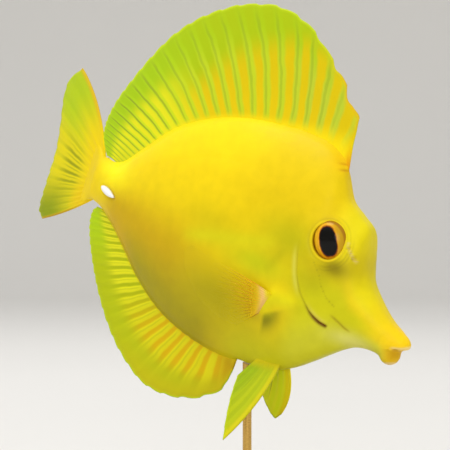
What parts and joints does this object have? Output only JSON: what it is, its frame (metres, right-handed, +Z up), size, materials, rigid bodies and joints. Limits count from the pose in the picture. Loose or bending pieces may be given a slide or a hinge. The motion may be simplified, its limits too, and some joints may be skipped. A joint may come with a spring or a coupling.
{
  "type": "yellow tang fish model on a stand",
  "caption": "Life-size still model of a disc-shaped reef fish with a tall ray-ribbed dorsal fin, long snout and bent tail, held nose down on an oval stand.",
  "frame": {"origin": "centre of the stand base's underside, straight below the rod", "axes": "+Z up; the fish swims towards +X, nose down; its left side faces +Y and its tail bends to +Y"},
  "size_m": [0.14, 0.062, 0.1535],
  "materials": {
    "skin": "satin, saturated yellow fish skin with fine rough scales",
    "fin": "satin yellow-green fin membrane with raised rays",
    "lip": "soft orange lips with a pale edge",
    "eye": "glossy eye with a dark pupil and an orange iris",
    "blade": "smooth white spine",
    "walnut": "oiled dark wood",
    "brass": "polished brass rod"
  },
  "bodies": {
    "root": {"head": "skin", "torso": "skin", "tail_stem": "skin", "upper_lip": "lip", "lower_lip": "lip", "eye_right": "eye", "eye_left": "eye", "dorsal_fin": "fin", "anal_fin": "fin", "caudal_fin": "fin", "pectoral_fin_right": "fin", "pectoral_fin_left": "fin", "pelvic_fin_right": "fin", "pelvic_fin_left": "fin", "tail_blade_right": "blade", "tail_blade_left": "blade", "stand_base": "walnut", "stand_rod": "brass"}
  },
  "joints": []
}
